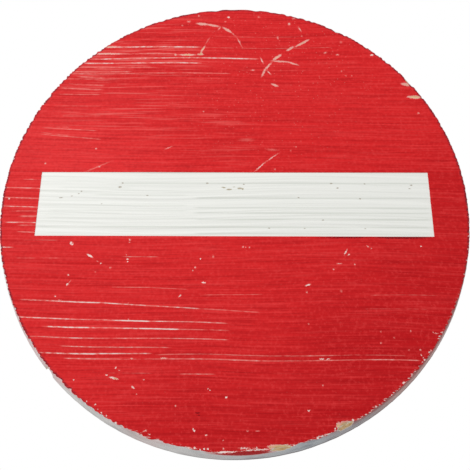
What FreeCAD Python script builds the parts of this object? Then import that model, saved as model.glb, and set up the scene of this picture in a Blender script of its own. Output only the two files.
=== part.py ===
import FreeCAD, Part
import math
import os

# A round wooden no entry sign that hangs flat on a wall.
# Millimetres. +Z is up and the face looks towards -Y.
# The origin is the centre of the back, on the wall.

Vector = FreeCAD.Vector

# The board
face_radius = 190.0          # from the centre of the face to its rim
board_thickness = 19.0       # from the wall to the ridges of the face
edge_spread = 6.0            # how far the sawn edge leans out on its way to the wall

# The brushed grain: soft wood is brushed away between ridges of hard wood
ridge_spacing = 6.0          # usual distance from ridge to ridge
ridge_wander = 1.8           # how far a ridge strays from even spacing
valley_depth = 0.4           # how deep the usual valley is
valley_change = 0.2          # how much deeper or shallower the others are

# The print
print_thickness = 0.3        # the red layer over the ridges
bar_height = 55.6            # the open window that shows the white bar
bar_to_rim = 30.0            # red left between each end of the bar and the rim
bar_rise = 0.0               # how far the bar sits above the centre

# The keyhole slot in the back, for the head of a wall screw
head_hole_diameter = 9.6     # lets the head in
shank_slot_width = 5.0       # lets the shank up, but not the head
slot_travel = 12.0           # from the head hole to the top of the slot
slot_below_rim = 45.0        # from the rim of the face down to the top of the slot
lip_thickness = 3.2          # the wood that the head bears on
keyhole_depth = 9.5          # from the back to the floor of the slot

# Splinters broken off the rim of the face, seen from the front:
# degrees clockwise from the top, length along the rim, bite into the corner
rim_splinters = (
    (28.8, 8.0, 1.4),
    (40.6, 6.0, 0.7),
    (53.0, 12.0, 1.3),
    (154.5, 18.0, 2.2),
    (169.5, 20.0, 1.8),
    (187.0, 13.0, 0.8),
)

# The piece broken out of the sawn edge at the lower left, from the wall forwards
edge_notch_angle = 226.7     # degrees clockwise from the top
edge_notch_length = 8.0      # along the back rim
edge_notch_bite = 5.0        # in from the back rim
edge_notch_depth = 16.0      # from the wall, so the face keeps its rim

# Worked out from the sizes above
golden_turn = math.radians(137.5)    # never repeats, so no two valleys are alike
overrun = 4.0                        # how far a cutting shape passes the surface it cuts
half_reach = face_radius + edge_spread + overrun
full_thickness = board_thickness + print_thickness
bar_length = 2 * (face_radius - bar_to_rim)
slot_top_height = face_radius - slot_below_rim
head_hole_height = slot_top_height - slot_travel


def ridge_height(number):
    """Height of one ridge of the grain. Number 0 is the one at the centre."""
    return ridge_spacing * number + ridge_wander * math.sin(golden_turn * number) / 2


def valley(number):
    """Depth of the valley above that ridge."""
    return valley_depth + valley_change * math.cos(golden_turn * number * number)


def grain_line(depth):
    """Section of the brushed face, from its lowest ridge to its highest."""
    strays = math.ceil(ridge_wander / ridge_spacing)
    last = math.ceil(half_reach / ridge_spacing) + strays
    edges = []
    for number in range(-last, last):
        low = ridge_height(number)
        high = ridge_height(number + 1)
        start = Vector(0, depth, low)
        hollow = Vector(0, depth + valley(number), (low + high) / 2)
        end = Vector(0, depth, high)
        edges.append(Part.Arc(start, hollow, end).toShape())
    return edges


def straight(start, end):
    return Part.LineSegment(start, end).toShape()


def along_the_grain(front, back):
    """A slab between two section lines, as long as the board is wide."""
    low_front = front[0].Vertexes[0].Point
    high_front = front[-1].Vertexes[-1].Point
    low_back = back[0].Vertexes[0].Point
    high_back = back[-1].Vertexes[-1].Point
    outline = [straight(low_back, low_front)] + front
    outline += [straight(high_front, high_back)] + back[::-1]
    section = Part.Face(Part.Wire(outline))
    section.translate(Vector(-half_reach, 0, 0))
    return section.extrude(Vector(2 * half_reach, 0, 0))


def sawn_disc():
    """The round blank. It is widest at the wall and narrows evenly to the face."""
    slope = edge_spread / full_thickness
    height = full_thickness + overrun
    back_radius = face_radius + edge_spread
    front_radius = back_radius - slope * height
    return Part.makeCone(back_radius, front_radius, height, Vector(0, 0, 0), Vector(0, -1, 0))


def splinter(clock_angle, length, bite):
    """A round-bottomed bite out of the corner between the face and the edge."""
    turn = math.radians(clock_angle)
    outwards = Vector(math.sin(turn), 0, math.cos(turn))
    forwards = Vector(0, -1, 0)
    corner = outwards * face_radius + forwards * full_thickness
    out_of_corner = (outwards + forwards).normalize()
    across = (outwards - forwards).normalize()
    radius = (length * length / 4 + bite * bite) / (2 * bite)
    half_width = 2 * bite + overrun
    middle = corner + out_of_corner * (radius - bite)
    return Part.makeCylinder(radius, 2 * half_width, middle - across * half_width, across)


def edge_notch():
    """A round-bottomed notch in the sawn edge, straight in from the back."""
    turn = math.radians(edge_notch_angle)
    half_length = edge_notch_length / 2
    radius = (half_length ** 2 + edge_notch_bite ** 2) / (2 * edge_notch_bite)
    reach = face_radius + edge_spread - edge_notch_bite + radius
    start = Vector(reach * math.sin(turn), overrun, reach * math.cos(turn))
    return Part.makeCylinder(radius, overrun + edge_notch_depth, start, Vector(0, -1, 0))


def round_hole(width, height, near, far):
    """A hole straight into the back, between two depths."""
    return Part.makeCylinder(width / 2, far - near, Vector(0, -near, height), Vector(0, -1, 0))


def upright_slot(width, bottom, top, near, far):
    """A slot with round ends, into the back between two depths."""
    lower_end = round_hole(width, bottom, near, far)
    upper_end = round_hole(width, top, near, far)
    middle = Part.makeBox(width, far - near, top - bottom, Vector(-width / 2, -far, bottom))
    return lower_end.fuse([middle, upper_end]).removeSplitter()


def keyhole():
    """Head hole, shank slot, and the wider undercut behind the lip."""
    mouth = -overrun
    head_hole = round_hole(head_hole_diameter, head_hole_height, mouth, keyhole_depth)
    shank_slot = upright_slot(shank_slot_width, head_hole_height, slot_top_height,
                              mouth, keyhole_depth)
    undercut = upright_slot(head_hole_diameter, head_hole_height, slot_top_height,
                            lip_thickness, keyhole_depth)
    return head_hole.fuse([shank_slot, undercut]).removeSplitter()


def bar_window():
    """The rectangle that is left unprinted."""
    corner = Vector(-bar_length / 2, -full_thickness - overrun, bar_rise - bar_height / 2)
    return Part.makeBox(bar_length, full_thickness + overrun, bar_height, corner)


def board():
    """The wooden disc: brushed in front, flat at the back, sawn all round."""
    front = grain_line(-board_thickness)
    low = front[0].Vertexes[0].Point
    high = front[-1].Vertexes[-1].Point
    back = [straight(Vector(0, 0, low.z), Vector(0, 0, high.z))]
    slab = along_the_grain(front, back)
    disc = slab.common(sawn_disc())
    splinters = [splinter(*place) for place in rim_splinters]
    return disc.cut(splinters + [edge_notch(), keyhole()])


def red_print():
    """The printed field. It follows every ridge and valley under it."""
    layer = along_the_grain(grain_line(-full_thickness), grain_line(-board_thickness))
    disc = layer.common(sawn_disc())
    splinters = [splinter(*place) for place in rim_splinters]
    return disc.cut(splinters + [bar_window()])


def write(name, shape):
    """Check one piece, say how big it is, and write its file."""
    box = shape.optimalBoundingBox(False)
    print(name, "solids", len(shape.Solids), "valid", shape.isValid(),
          "volume %.0f mm3" % shape.Volume,
          "box %.1f x %.1f x %.1f" % (box.XLength, box.YLength, box.ZLength))
    shape.exportStep("parts/" + name + ".step")


os.makedirs("parts", exist_ok=True)
write("board", board())
write("red_print", red_print())
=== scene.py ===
# %% [markdown]
# # A worn wooden no entry sign
# The real thing is one round board of softwood. Its face was brushed with steel wire,
# which wears the soft wood away between the hard ridges of the grain. Then it was painted
# white, and a red field was printed over the ridges with a gap left for the white bar.
# Handling has worn the red off the highest ridges and splintered the rim.
# This lesson dresses the plain CAD model of that board. First the brushed face is built as
# a fine mesh, because the ridges catch the light and step the outline. Then the board and
# the print are made from it. After them come the camera and the light, and at the end the
# paint and the wear.

# %% Load the measured model
import math

import bmesh
import bpy
from mathutils import Euler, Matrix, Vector, noise


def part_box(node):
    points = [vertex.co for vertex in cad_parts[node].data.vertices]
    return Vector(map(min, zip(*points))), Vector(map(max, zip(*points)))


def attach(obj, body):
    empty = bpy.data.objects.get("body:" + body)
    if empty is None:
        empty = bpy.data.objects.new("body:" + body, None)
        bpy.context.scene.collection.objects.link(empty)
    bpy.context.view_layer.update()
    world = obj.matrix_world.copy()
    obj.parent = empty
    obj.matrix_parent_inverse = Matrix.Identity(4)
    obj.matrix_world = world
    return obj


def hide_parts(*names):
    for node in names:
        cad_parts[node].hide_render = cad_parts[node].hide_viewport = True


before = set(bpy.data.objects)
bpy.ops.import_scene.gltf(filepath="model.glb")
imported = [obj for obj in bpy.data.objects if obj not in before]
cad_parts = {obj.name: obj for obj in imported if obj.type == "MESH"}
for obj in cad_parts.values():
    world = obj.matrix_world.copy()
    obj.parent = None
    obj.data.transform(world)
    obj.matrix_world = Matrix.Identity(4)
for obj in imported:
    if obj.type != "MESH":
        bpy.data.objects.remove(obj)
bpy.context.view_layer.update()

MM = 0.001
PER_MM = (1 / MM, 1 / MM, 1 / MM)

# %% [markdown]
# ## The sizes that everything follows
# The board is 392 mm across at the wall and 380 mm across at its face, because the sawn
# edge leans out towards the back. The frame gives the outer size and both depths, so the
# scene can't drift away from the solids. The lean of the edge and the window for the bar
# are repeated from the drawing, and so are the broad ridges, the splinters, the notch and
# the keyhole further down.

# %% Sizes of the board and the print
board_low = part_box("board")[0]
print_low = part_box("red_print")[0]

BACK_RADIUS = -board_low.z
BOARD_FRONT = board_low.y              # the ridges of the wood
PRINT_FRONT = print_low.y              # the ridges of the print
EDGE_SPREAD = 6.0 * MM                 # the sawn edge leans out this much
FACE_RADIUS = BACK_RADIUS - EDGE_SPREAD
BAR_HALF_LENGTH = FACE_RADIUS - 30.0 * MM
BAR_HALF_HEIGHT = 55.6 * MM / 2


def edge_radius(y):
    """Radius of the sawn edge at a depth. It is widest at the wall, where y is 0."""
    return BACK_RADIUS + EDGE_SPREAD * y / -PRINT_FRONT


print("face radius", round(FACE_RADIUS / MM, 1), "mm, print thickness",
      round((BOARD_FRONT - PRINT_FRONT) / MM, 2), "mm")

# %% [markdown]
# ## The brushed grain
# Growth rings cross the face as nearly straight lines. Each ring has a hard dark part, which
# stands up as a ridge, and a soft pale part, which the brush hollows out. The broad ridges
# have the places and depths of the solid. Between them lie finer lines, too fine for the
# solid, about 2 mm apart. They could be a bump in the material, but then the rim would
# stay a perfect circle. As real shape they step the outline, as they do on the sign.
# The grain wanders by about a millimetre, so each point first looks up its own grain line.

# %% Broad ridges with the places of the solid
RIDGE_SPACING = 6.0 * MM
RIDGE_WANDER = 1.8 * MM
VALLEY_DEPTH = 0.4 * MM
VALLEY_CHANGE = 0.2 * MM
GOLDEN_TURN = math.radians(137.5)


def ridge_height(number):
    return RIDGE_SPACING * number + RIDGE_WANDER * math.sin(GOLDEN_TURN * number) / 2


def valley(number):
    return VALLEY_DEPTH + VALLEY_CHANGE * math.cos(GOLDEN_TURN * number * number)


def broad_valley(line):
    """Depth of the broad valley that a grain line lies in."""
    number = math.floor(line / RIDGE_SPACING)
    while ridge_height(number) > line:
        number -= 1
    while ridge_height(number + 1) <= line:
        number += 1
    low, high = ridge_height(number), ridge_height(number + 1)
    across = 2 * (line - low) / (high - low) - 1
    return valley(number) * (1 - across * across)


print("broad valleys", [round(broad_valley(3 * MM * step) / MM, 2) for step in range(5)],
      "mm deep")

# %% Fine lines and the wander of the grain
GRAIN_WANDER = 1.8 * MM                # how far a grain line strays from level
WANDER_LENGTH = 130.0 * MM
WANDER_HEIGHT = 120.0 * MM
PAINT_FILL = 0.4                       # how much of the broad valleys the paint has filled
DEPTH_CHANGE = 0.35                    # how much a broad valley's depth changes along it
FINE_DEPTH = 0.22 * MM
FINE_WIDTH = 0.95 * MM                 # half the usual spacing of the fine lines
FINE_LENGTH = 60.0 * MM                # how long a fine line stays the same
BROAD_SLICE = 2.9                      # each pattern reads its own slice of the noise
FINE_SLICE = 7.3
SAMPLE_STEP = 0.1 * MM


def within(value):
    """A value kept between 0 and 1."""
    return max(0.0, min(1.0, value))


def grain_line(x, z):
    """The height that the grain line through a point would have at the middle."""
    stray = noise.noise(Vector((x / WANDER_LENGTH, 0.0, z / WANDER_HEIGHT)))
    return z - 2 * GRAIN_WANDER * stray


def fine_valley(x, line):
    """Depth of the fine lines between the broad ridges."""
    wave = noise.noise(Vector((x / FINE_LENGTH, FINE_SLICE, line / FINE_WIDTH)))
    return FINE_DEPTH * within(0.5 + wave)


def brushed_depth(x, line):
    """How deep the brush went at a point of the face, from the highest ridges."""
    wave = noise.noise(Vector((x / FINE_LENGTH, BROAD_SLICE, line / RIDGE_SPACING)))
    change = 1 + DEPTH_CHANGE * wave
    return broad_valley(line) * (1 - PAINT_FILL) * change + fine_valley(x, line)


depths = [brushed_depth(0.0, step * SAMPLE_STEP) for step in range(1200)]
print("brushed depth", round(min(depths) / MM, 2), "to", round(max(depths) / MM, 2), "mm")

# %% [markdown]
# ## The ridges that are worn
# Hands, boxes and shelves rub only the highest ridges, so the red is lost in long thin
# lines along the grain. Most of them are on the left of the sign. They are written down
# one by one, because their places are what one recognises. Each row says where a line
# starts and ends, in millimetres, how much of the paint is lost, from 0 to 1, and how far
# the wear spreads to either side, in millimetres again. The mesh uses the list to keep
# these ridges high, and the paint uses it again to show them bare.

# %% Worn ridges
WORN_RIDGES = (
    # from x, z to x, z, loss, spread
    (-20, 160.5, 60, 160.5, 0.2, 0.7), (-112, 155.7, -85, 155.7, 0.24, 0.8),
    (-120, 149.4, -32, 149.4, 0.75, 1.2), (-32, 149.2, 86, 149.2, 0.28, 0.7),
    (-130, 142.6, -53, 142.6, 0.55, 1.1), (-53, 141.9, -33, 141.9, 0.48, 0.8),
    (-136, 136.9, 21, 136.9, 0.7, 1.1), (20, 133, 110, 133, 0.18, 0.7),
    (-140, 132.8, -31, 132.8, 0.7, 1.1), (-142, 128.7, -74, 128.7, 0.45, 1.1),
    (0, 125.5, 75, 125.5, 0.18, 0.7), (-146, 124.1, -92, 124.1, 0.45, 1.1),
    (-146, 122, -4, 122, 0.4, 0.9), (-138, 118.9, -114, 117.5, 0.4, 1.3),
    (-150, 116.9, -100, 116.9, 0.4, 1.0), (-147, 111.9, -114, 109.8, 0.36, 1.6),
    (-152, 107.5, -114, 105.8, 0.36, 1.4), (-155, 101.5, -117, 101.1, 0.36, 0.9),
    (-151, 90.2, -116, 89.7, 0.24, 0.8), (-158, 89.7, -124, 89.7, 0.28, 0.7),
    (-150, 80, -115, 80.1, 0.28, 0.8), (-158, 80, -119, 80, 0.24, 0.7),
    (-165, 69.4, -140, 69.4, 0.28, 0.7), (-164, 68.8, -117, 66, 0.4, 0.8),
    (-165, 64.3, -139, 61.1, 0.32, 0.8), (-165, 62.6, -113, 57.9, 0.4, 0.8),
    (-174, 21.1, -154, 20.6, 0.5, 0.8), (-194, 13.8, -154, 12.8, 0.6, 0.8),
    (-194, 5, -154, 3.9, 0.6, 0.8), (-194, -2.5, -154, -3.8, 0.65, 0.8),
    (-182, -6.9, -154, -6.9, 0.4, 0.7), (-174, -11.4, -154, -11.4, 0.35, 1.4),
    (-184, -16.5, -154, -16.9, 0.6, 0.8), (-174, -19, -154, -19, 0.3, 1.2),
    (-173, -24.5, -154, -25.3, 0.5, 0.8), (-170, -31.5, -140, -31.5, 0.25, 0.7),
    (-189, -37.5, -177, -37.5, 0.8, 0.7), (-87, -45, -60, -45, 0.5, 0.6),
    (-172, -46.4, -137, -46.4, 0.3, 0.7), (-94, -69.5, -64, -69.6, 0.45, 0.6),
    (-64, -69.8, -35, -71.1, 0.35, 0.6), (-25, -75.6, 23, -74.7, 0.3, 0.6),
    (106, -75.2, 160, -75.2, 0.25, 0.7), (-165, -79.6, -102, -81.8, 0.7, 0.9),
    (-102, -81.8, -25, -86.2, 0.65, 0.8), (97, -86, 151, -86, 0.25, 0.7),
    (-25, -86.2, 21, -88.7, 0.4, 0.8), (-167, -93.1, -101, -95.1, 0.7, 0.8),
    (-101, -95.1, -63, -96, 0.8, 0.9), (-63, -96, -4, -97.3, 0.55, 0.8),
    (-144, -100.3, -101, -101, 0.8, 0.9), (-101, -101, -41, -102, 0.75, 0.9),
    (-41, -102, -3, -102.8, 0.45, 0.8), (-154, -107.8, -93, -109, 0.55, 0.7),
    (-93, -109, -3, -109.8, 0.5, 0.7), (-130, -114.9, -47, -115.6, 0.5, 0.7),
    (-147, -119.9, -102, -120.6, 0.8, 0.9), (-102, -120.4, -62, -120.1, 0.7, 0.8),
    (-19, -120.4, 95, -120.5, 0.4, 0.7), (-58, -121, -19, -120.4, 0.35, 0.8),
    (95, -120.5, 131, -120.9, 0.25, 0.7), (-126, -123.9, -68, -124.3, 0.55, 0.8),
    (-68, -124.3, 21, -125.1, 0.5, 0.8), (21, -125.1, 140, -124.3, 0.45, 0.7),
    (-96, -134.5, -60, -134.5, 0.25, 0.7), (-39, -135, -13, -135, 0.5, 0.6),
)
WORN_FADE = 6.0                        # a line fades out over this length, in mm


def on_the_grain(ridge):
    """A ridge along its grain line: height at x = 0, slope, start, end, loss, spread."""
    x_from, z_from, x_to, z_to, loss, spread = ridge
    line_from = grain_line(x_from * MM, z_from * MM) / MM
    line_to = grain_line(x_to * MM, z_to * MM) / MM
    slope = (line_to - line_from) / (x_to - x_from)
    return line_from - slope * x_from, slope, x_from, x_to, loss, spread


WORN_LINES = [on_the_grain(ridge) for ridge in WORN_RIDGES]


def worn(x, line):
    """How worn the ridges are at a point of the face, from 0 to 1."""
    x, line = x / MM, line / MM
    worst = 0.0
    for height, slope, start, end, loss, spread in WORN_LINES:
        aside = abs(line - height - slope * x) / spread
        if aside < 1.0:
            inside = min(x - start, end - x) / WORN_FADE + 0.5
            worst = max(worst, loss * (1 - aside * aside) * within(inside))
    return worst


print(len(WORN_LINES), "worn ridges, the steepest slopes",
      round(max(abs(line[1]) for line in WORN_LINES), 3))

# %% [markdown]
# ## One sheet for both faces
# The board and the print share the brushed surface, 0.3 mm apart. It starts as a flat grid
# whose rows run along the grain. Rows lie 0.46 mm apart, close enough for the fine lines,
# while a row has only 36 faces along it, because the grain hardly changes that way.
# Each row is then squeezed to the length of its chord, which turns the square into a disc.
# Near the top and the bottom the chords change quickly, so there the rows lie closer and
# keep an even step along the circle. At both poles the row has no length, and merging its
# points closes it.

# %% Rows of the grid
FIELD_RADIUS = FACE_RADIUS - 4.0 * MM  # inside the band that is made along the rim
ROW_STEP = 0.46 * MM
EVEN_ROWS_TO = 150.0 * MM              # above this height the rows follow the circle
COLUMNS = 36

even_rows = round(EVEN_ROWS_TO / ROW_STEP)
last_even_angle = math.asin(EVEN_ROWS_TO / FIELD_RADIUS)
arc_step = ROW_STEP / math.cos(last_even_angle)
arc_rows = round((math.pi / 2 - last_even_angle) * FIELD_RADIUS / arc_step)
half_rows = even_rows + arc_rows


def row_angle(row):
    """Angle of a row's end above the middle of the disc. Rows count from the middle."""
    count = abs(row)
    if count <= even_rows:
        angle = math.asin(EVEN_ROWS_TO * count / even_rows / FIELD_RADIUS)
    else:
        share = (count - even_rows) / arc_rows
        angle = last_even_angle + share * (math.pi / 2 - last_even_angle)
    return math.copysign(angle, row)


print(2 * half_rows, "rows, of which", 2 * arc_rows, "follow the circle")

# %% The grid becomes a disc with a fine band along its rim
RIM_RINGS = (187.2, 188.3, 189.1, 189.6, 190.0)    # radii of the band, in mm
SAME_POINT = 0.01 * MM                 # points nearer than this are merged


def rim_edges(mesh):
    return [edge for edge in mesh.edges if len(edge.link_faces) == 1]


def points_of(things):
    """The points among the things that an operator has made."""
    return [item for item in things if isinstance(item, bmesh.types.BMVert)]


def flat_face():
    """The whole face as a flat sheet: a disc with rows along the grain."""
    sheet = bmesh.new()
    bmesh.ops.create_grid(sheet, x_segments=COLUMNS, y_segments=2 * half_rows, size=1.0)
    for point in sheet.verts:
        angle = row_angle(round(point.co.y * half_rows))
        half_chord = FIELD_RADIUS * math.cos(angle)
        point.co = (point.co.x * half_chord, 0.0, FIELD_RADIUS * math.sin(angle))
    bmesh.ops.remove_doubles(sheet, verts=sheet.verts, dist=SAME_POINT)
    for radius in RIM_RINGS:
        band = bmesh.ops.extrude_edge_only(sheet, edges=rim_edges(sheet))["geom"]
        for point in points_of(band):
            point.co *= radius * MM / point.co.length
    return sheet


test_sheet = flat_face()
print("flat face", len(test_sheet.verts), "points", len(test_sheet.faces), "faces")
test_sheet.free()

# %% [markdown]
# ## The rim
# The blank was sawn round after the face was brushed, so the saw ran through hard ridges
# and soft valleys in turn. The soft wood crumbled back a little, and the rim has a step at
# each ridge: short shallow teeth at the left and right, where the grain meets the rim end
# on, and longer, deeper steps at the top and bottom, where slivers break away more easily.
# So the teeth aren't random. Their depth is read from the same grain as the relief. The
# corner itself is rubbed round.

# %% Teeth and the rubbed corner
TOOTH_DEPTH = 1.4 * MM                 # the most that soft wood crumbles back
TOOTH_LENGTH = 12.0 * MM               # how long a tooth lasts along the grain
TOOTH_WIDTH = 1.4 * MM                 # half the usual spacing of the teeth, across the grain
TOOTH_SLICE = 1.7
TOOTH_CONTRAST = 1.5                   # how much one tooth differs from the next
SOFT_FROM, SOFT_TO = 0.15 * MM, 0.45 * MM    # wood brushed this deep is hard, and soft
HARD_SHARE = 0.4                       # share of the depth that is left in hard wood
END_GRAIN = 0.8                        # share of the depth at the left and right
FULL_DEPTH_AT = FACE_RADIUS / 1.4      # teeth this far above or below the middle are deepest
TOOTH_REACH = 3.0 * MM                 # how far in, and how far down the edge, teeth are felt
RUBBED_WIDTH = 0.9 * MM                # the corner is rounded over this width
RUBBED_DEPTH = 0.25 * MM
TESTED_PLACES = 3000


def tooth(x, z):
    """How far the rim has crumbled back at a point of the circle."""
    line = grain_line(x, z)
    soft = within((brushed_depth(x, line) - SOFT_FROM) / (SOFT_TO - SOFT_FROM))
    wave = noise.noise(Vector((x / TOOTH_LENGTH, TOOTH_SLICE, line / TOOTH_WIDTH)))
    side_grain = END_GRAIN + (1 - END_GRAIN) * min(1.0, abs(z) / FULL_DEPTH_AT)
    depth = TOOTH_DEPTH * side_grain * (HARD_SHARE + (1 - HARD_SHARE) * soft)
    return depth * within(0.5 + TOOTH_CONTRAST * wave)


def rubbed(inwards):
    """How much lower the rubbed corner is, at a distance in from the rim."""
    share = max(0.0, 1 - inwards / RUBBED_WIDTH)
    return RUBBED_DEPTH * share * share


turns = [2 * math.pi * place / TESTED_PLACES for place in range(TESTED_PLACES)]
teeth = [tooth(FACE_RADIUS * math.sin(turn), FACE_RADIUS * math.cos(turn)) for turn in turns]
print("teeth up to", round(max(teeth) / MM, 2), "mm, on average",
      round(sum(teeth) / len(teeth) / MM, 2), "mm")

# %% [markdown]
# ## Splinters
# At six places a splinter has broken off the corner between the face and the edge. The
# solid has them as clean round bites. Here the same bites push the points of the rim
# back to the bottom of the bite, and a ragged bottom along the grain makes them look torn.
# The deep ones show bare tan wood, the shallow ones only the white paint under the red.
# A bigger piece is missing from the sawn edge at the lower left. It left a notch that
# comes in from the wall and stops just behind the face.

# %% Sizes of the bites and the notch
RIM_SPLINTERS = (
    # degrees clockwise from the top, length along the rim, bite into the corner, bareness
    (28.8, 8.0, 1.4, 0.0), (40.6, 6.0, 0.7, 0.3), (53.0, 12.0, 1.3, 0.7),
    (154.5, 18.0, 2.2, 1.0), (169.5, 20.0, 1.8, 1.0), (187.0, 13.0, 0.8, 0.3),
)
NOTCH_ANGLE = 226.7
NOTCH_LENGTH = 8.0 * MM
NOTCH_BITE = 5.0 * MM
NOTCH_DEPTH = 16.0 * MM
NOTCH_BARE = 0.8
TORN = 0.35 * MM                       # how ragged the bottom of a bite is
TORN_SHARE = 0.3                       # above 0, more than half of a bottom is ragged
FIBRE_CELL = (9.0 * MM, 1.5 * MM, 0.9 * MM)    # usual length, depth and height of a fibre
FRESH_FROM = 0.3 * MM                  # moved this far, a point shows what the paint covered
FORWARDS = Vector((0.0, -1.0, 0.0))

print(len(RIM_SPLINTERS), "bites, and a notch", round(NOTCH_BITE / MM, 1), "mm deep")

# %% Directions at the rim, and the round bottom of a bite
def cell_noise(place, cell):
    """Noise at a place, in cells of the given length, depth and height."""
    return noise.noise(Vector((place.x / cell[0], place.y / cell[1], place.z / cell[2])))


def directions(clock):
    """Outwards and sideways at a place on the rim, in degrees clockwise from the top."""
    sine, cosine = math.sin(math.radians(clock)), math.cos(math.radians(clock))
    return Vector((sine, 0.0, cosine)), Vector((cosine, 0.0, -sine))


def round_bottom(length, bite, along):
    """Height of the bottom of a round bite, which is below zero between its ends."""
    radius = (length * length / 4 + bite * bite) / (2 * bite)
    return radius - bite - math.sqrt(radius * radius - along * along)


def pushed(point, outwards, above):
    """Push a point back if it stands above the bottom. Returns it and how far it moved."""
    above = max(0.0, above)
    return point - outwards * above, above


print("the notch faces", [round(side, 2) for side in directions(NOTCH_ANGLE)[0]])

# %% Bites out of the corner, and the notch in the edge
def bitten(point, splinter):
    """Push a point to the bottom of one bite out of the corner."""
    length, bite = splinter[1] * MM, splinter[2] * MM
    outwards, sideways = directions(splinter[0])
    from_corner = point - (outwards * FACE_RADIUS + Vector((0.0, PRINT_FRONT, 0.0)))
    out_of_corner = (outwards + FORWARDS).normalized()
    along = from_corner.dot(sideways)
    if abs(along) > length / 2:
        return point, 0.0
    torn = TORN * max(0.0, cell_noise(point, FIBRE_CELL) + TORN_SHARE)
    bottom = round_bottom(length, bite, along) - torn
    return pushed(point, out_of_corner, from_corner.dot(out_of_corner) - bottom)


def notched(point):
    """Push a point of the sawn edge to the bottom of the notch."""
    outwards, sideways = directions(NOTCH_ANGLE)
    along = point.dot(sideways)
    if abs(along) > NOTCH_LENGTH / 2 or point.y < -NOTCH_DEPTH:
        return point, 0.0
    torn = TORN * cell_noise(point, FIBRE_CELL)
    bottom = BACK_RADIUS + round_bottom(NOTCH_LENGTH, NOTCH_BITE, along) + torn
    return pushed(point, outwards, point.dot(outwards) - bottom)


def splintered(point):
    """The point after every bite, and how bare the wood is there, from 0 to 1."""
    bare = 0.0
    for splinter in RIM_SPLINTERS:
        point, moved = bitten(point, splinter)
        bare = max(bare, splinter[3] * min(1.0, moved / FRESH_FROM))
    point, moved = notched(point)
    return point, max(bare, NOTCH_BARE * min(1.0, moved / FRESH_FROM))


deepest = directions(RIM_SPLINTERS[3][0])[0] * FACE_RADIUS + Vector((0.0, PRINT_FRONT, 0.0))
print("deepest bite", round((splintered(deepest)[0] - deepest).length / MM, 2), "mm")

# %% [markdown]
# ## Shaping a sheet
# Now the flat sheet gets its relief. Each point is lowered into its valley, and at the rim
# it is moved in by its tooth and down by the rubbed corner, then bitten. While the place of
# each point is worked out, three things are written onto it for the paint: its own grain
# coordinate, so that patterns follow the wandering grain, how near the rim it is, and how
# fresh the broken wood is.

# %% Relief, teeth, bites, and notes for the paint
WORN_LIFT = 0.75                       # a fully worn line lies in a valley shallower by this
RIM_NOTE_WIDTH = 4.0 * MM              # the note of the rim fades out over this distance


def add_notes(mesh):
    """Three notes that each point carries to the materials."""
    floats = mesh.verts.layers.float
    return {"grain": mesh.verts.layers.float_vector.new("grain"),
            "rim": floats.new("rim"), "broken": floats.new("broken")}


def shape_point(point, notes, front):
    """Move one point of a flat sheet onto the brushed face, whose ridges lie at front."""
    x, z = point.co.x, point.co.z
    inwards = FACE_RADIUS - math.hypot(x, z)
    line = grain_line(x, z)
    y = front + brushed_depth(x, line) * (1 - WORN_LIFT * worn(x, line)) + rubbed(inwards)
    place = Vector((x, y, z))
    if inwards < TOOTH_REACH:
        share = 1 - inwards / TOOTH_REACH
        outwards = Vector((x, 0.0, z)).normalized()
        place -= outwards * tooth(outwards.x * FACE_RADIUS, outwards.z * FACE_RADIUS) * share
        place, point[notes["broken"]] = splintered(place)
    point[notes["grain"]] = (x, y, line)
    point[notes["rim"]] = max(0.0, 1 - inwards / RIM_NOTE_WIDTH)
    point.co = place


print("a fully worn ridge keeps its valley", round((1 - WORN_LIFT) * VALLEY_DEPTH / MM, 2),
      "mm deep")

# %% From a bmesh to a finished piece
SHARP_ANGLE = math.radians(50)         # edges that are sharper than this stay sharp


def finished(mesh, name):
    """Turn a bmesh into an object with smooth faces and sharp corners."""
    bmesh.ops.recalc_face_normals(mesh, faces=mesh.faces)
    for face in mesh.faces:
        face.smooth = True
    for edge in mesh.edges:
        edge.smooth = edge.calc_face_angle(0.0) < SHARP_ANGLE
    data = bpy.data.meshes.new(name)
    mesh.to_mesh(data)
    mesh.free()
    piece = bpy.data.objects.new(name, data)
    bpy.context.scene.collection.objects.link(piece)
    data.calc_loop_triangles()
    print(name, len(data.loop_triangles), "triangles")
    return piece


# %% [markdown]
# ## The red print
# The print is a thin coat on the brushed face. Its window for the bar is cut while the
# sheet is still flat: four straight cuts divide the faces, and the faces inside the
# window are deleted. Cutting first keeps the window's edges straight while they rise and
# fall over the ridges. The sheet is shaped after that and given its thickness by an
# extrusion straight back to the wood, so the coat is closed all round.

# %% Cut the window, shape the coat, give it its thickness
ON_THE_CUT = 0.001 * MM                # points this near to a cut lie on it


def cut_window(sheet):
    """Cut out the rectangle that the white bar shows through."""
    sides = (((BAR_HALF_LENGTH, 0, 0), (1, 0, 0)), ((-BAR_HALF_LENGTH, 0, 0), (1, 0, 0)),
             ((0, 0, BAR_HALF_HEIGHT), (0, 0, 1)), ((0, 0, -BAR_HALF_HEIGHT), (0, 0, 1)))
    for place, across in sides:
        everything = sheet.verts[:] + sheet.edges[:] + sheet.faces[:]
        bmesh.ops.bisect_plane(sheet, geom=everything, dist=ON_THE_CUT,
                               plane_co=place, plane_no=across)
    inside = []
    for face in sheet.faces:
        middle = face.calc_center_median()
        if abs(middle.x) < BAR_HALF_LENGTH and abs(middle.z) < BAR_HALF_HEIGHT:
            inside.append(face)
    bmesh.ops.delete(sheet, geom=inside, context="FACES")


coat = flat_face()
cut_window(coat)
coat_notes = add_notes(coat)
for point in coat.verts:
    shape_point(point, coat_notes, PRINT_FRONT)

coat_thickness = Vector((0.0, BOARD_FRONT - PRINT_FRONT, 0.0))
front_faces = coat.faces[:]
behind = bmesh.ops.extrude_face_region(coat, geom=front_faces, use_keep_orig=True)["geom"]
bmesh.ops.translate(coat, verts=points_of(behind), vec=coat_thickness)
red_print = finished(coat, "printed_red_field")

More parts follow.
